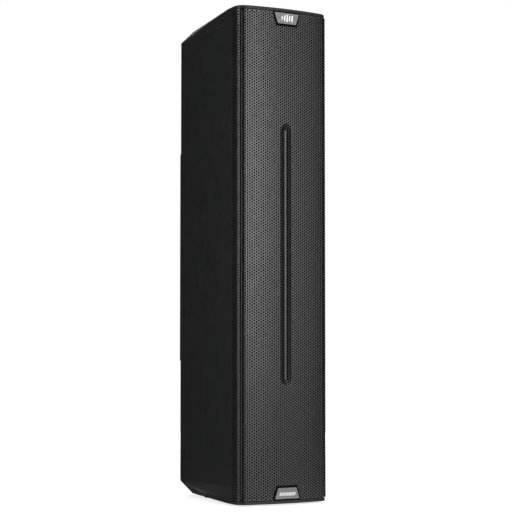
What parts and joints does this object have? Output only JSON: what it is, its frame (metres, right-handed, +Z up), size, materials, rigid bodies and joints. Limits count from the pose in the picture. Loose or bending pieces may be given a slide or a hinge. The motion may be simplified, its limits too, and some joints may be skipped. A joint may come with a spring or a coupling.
{
  "type": "column loudspeaker",
  "caption": "Tall tapered powered loudspeaker cabinet with a curved perforated front, a vertical slot and a rear amplifier module.",
  "frame": {"origin": "on the floor, under the middle of the cabinet's bounding box", "axes": "+Z up, -Y towards the perforated front, +X to the right as seen from the front"},
  "size_m": [0.1896, 0.3028, 0.895],
  "materials": {
    "cap_plastic": "moulded, fine texture, charcoal",
    "painted_panel": "textured charcoal paint on plywood",
    "grille_steel": "satin charcoal powder coat, perforated",
    "acoustic_foam": "open-cell black foam",
    "bezel_black": "black, satin",
    "badge_metal": "brushed, clear anodised",
    "baffle_board": "black stained board",
    "bare_plywood": "bare birch plywood",
    "damping_fibre": "grey fibre wadding",
    "basket_steel": "black paint",
    "magnet_ferrite": "dark ferrite with steel plates",
    "surround_rubber": "matt black rubber",
    "cone_paper": "black coated pulp",
    "horn_plastic": "moulded black",
    "driver_iron": "dark painted",
    "module_casting": "black powder-coated casting",
    "heat_sink_aluminium": "black anodised",
    "control_plate": "fine textured black paint",
    "socket_plastic": "black, satin",
    "latch_metal": "satin nickel",
    "inlet_plastic": "black",
    "switch_plastic": "black",
    "knob_rubber": "soft-touch black",
    "button_plastic": "grey",
    "led_green": "translucent lens",
    "led_red": "translucent lens",
    "board_laminate": "green solder mask",
    "supply_case": "bare folded sheet",
    "lead_jacket": "black jacket",
    "pole_cup_plastic": "moulded black",
    "foot_rubber": "matt black",
    "insert_brass": "nickel-plated brass"
  },
  "bodies": {
    "cabinet": {"top_cap": "cap_plastic", "bottom_cap": "cap_plastic", "side_panel_left": "painted_panel", "side_panel_right": "painted_panel", "rear_panel": "painted_panel", "grille": "grille_steel", "grille_foam": "acoustic_foam", "bezel_top": "bezel_black", "badge_top": "badge_metal", "bezel_bottom": "bezel_black", "badge_bottom": "badge_metal", "baffle": "baffle_board", "brace_lower": "bare_plywood", "brace_upper": "bare_plywood", "damping_pad_left": "damping_fibre", "damping_pad_right": "damping_fibre", "woofer_1_basket": "basket_steel", "woofer_1_magnet": "magnet_ferrite", "woofer_1_surround": "surround_rubber", "woofer_2_basket": "basket_steel", "woofer_2_magnet": "magnet_ferrite", "woofer_2_surround": "surround_rubber", "woofer_3_basket": "basket_steel", "woofer_3_magnet": "magnet_ferrite", "woofer_3_surround": "surround_rubber", "woofer_4_basket": "basket_steel", "woofer_4_magnet": "magnet_ferrite", "woofer_4_surround": "surround_rubber", "horn_waveguide": "horn_plastic", "compression_driver": "driver_iron", "amp_housing": "module_casting", "heat_sink": "heat_sink_aluminium", "control_panel": "control_plate", "combo_socket_1": "socket_plastic", "combo_socket_2": "socket_plastic", "link_socket": "socket_plastic", "power_inlet": "inlet_plastic", "led_power": "led_green", "led_limit": "led_red", "amp_board": "board_laminate", "power_supply": "supply_case", "speaker_harness": "lead_jacket", "pole_socket": "pole_cup_plastic", "foot_1": "foot_rubber", "foot_2": "foot_rubber", "foot_3": "foot_rubber", "foot_4": "foot_rubber", "bracket_insert_1": "insert_brass", "bracket_insert_2": "insert_brass"},
    "cone_1": {"woofer_1_cone": "cone_paper"},
    "cone_2": {"woofer_2_cone": "cone_paper"},
    "cone_3": {"woofer_3_cone": "cone_paper"},
    "cone_4": {"woofer_4_cone": "cone_paper"},
    "input_1_knob": {"knob_input_1": "knob_rubber"},
    "input_2_knob": {"knob_input_2": "knob_rubber"},
    "master_knob": {"knob_master": "knob_rubber"},
    "preset_key": {"preset_button": "button_plastic"},
    "latch_1": {"combo_latch_1": "latch_metal"},
    "latch_2": {"combo_latch_2": "latch_metal"},
    "rocker": {"power_switch": "switch_plastic"}
  },
  "joints": [
    {"name": "woofer_1_travel", "type": "slide", "parent": "cabinet", "child": "cone_1", "axis": [0, -1, 0], "range_m": [-0.004, 0.004], "stiffness_N_per_m": 900, "deforming": ["woofer_1_surround"]},
    {"name": "woofer_2_travel", "type": "slide", "parent": "cabinet", "child": "cone_2", "axis": [0, -1, 0], "range_m": [-0.004, 0.004], "stiffness_N_per_m": 900, "deforming": ["woofer_2_surround"]},
    {"name": "woofer_3_travel", "type": "slide", "parent": "cabinet", "child": "cone_3", "axis": [0, -1, 0], "range_m": [-0.004, 0.004], "stiffness_N_per_m": 900, "deforming": ["woofer_3_surround"]},
    {"name": "woofer_4_travel", "type": "slide", "parent": "cabinet", "child": "cone_4", "axis": [0, -1, 0], "range_m": [-0.004, 0.004], "stiffness_N_per_m": 900, "deforming": ["woofer_4_surround"]},
    {"name": "input_1_turn", "type": "hinge", "parent": "cabinet", "child": "input_1_knob", "pos_m": [-0.029, 0.13745, 0.392], "axis": [0, -1, 0], "range_deg": [0, 300]},
    {"name": "input_2_turn", "type": "hinge", "parent": "cabinet", "child": "input_2_knob", "pos_m": [0, 0.13745, 0.392], "axis": [0, -1, 0], "range_deg": [0, 300]},
    {"name": "master_turn", "type": "hinge", "parent": "cabinet", "child": "master_knob", "pos_m": [0.029, 0.13745, 0.392], "axis": [0, -1, 0], "range_deg": [0, 300]},
    {"name": "preset_press", "type": "slide", "parent": "cabinet", "child": "preset_key", "axis": [0, -1, 0], "range_m": [0, 0.0015], "stiffness_N_per_m": 500},
    {"name": "latch_1_press", "type": "slide", "parent": "cabinet", "child": "latch_1", "axis": [0, -1, 0], "range_m": [0, 0.0015], "stiffness_N_per_m": 500},
    {"name": "latch_2_press", "type": "slide", "parent": "cabinet", "child": "latch_2", "axis": [0, -1, 0], "range_m": [0, 0.0015], "stiffness_N_per_m": 500},
    {"name": "power_rock", "type": "hinge", "parent": "cabinet", "child": "rocker", "pos_m": [0.022, 0.13095, 0.276], "axis": [-1, 0, 0], "range_deg": [0, 16]}
  ]
}
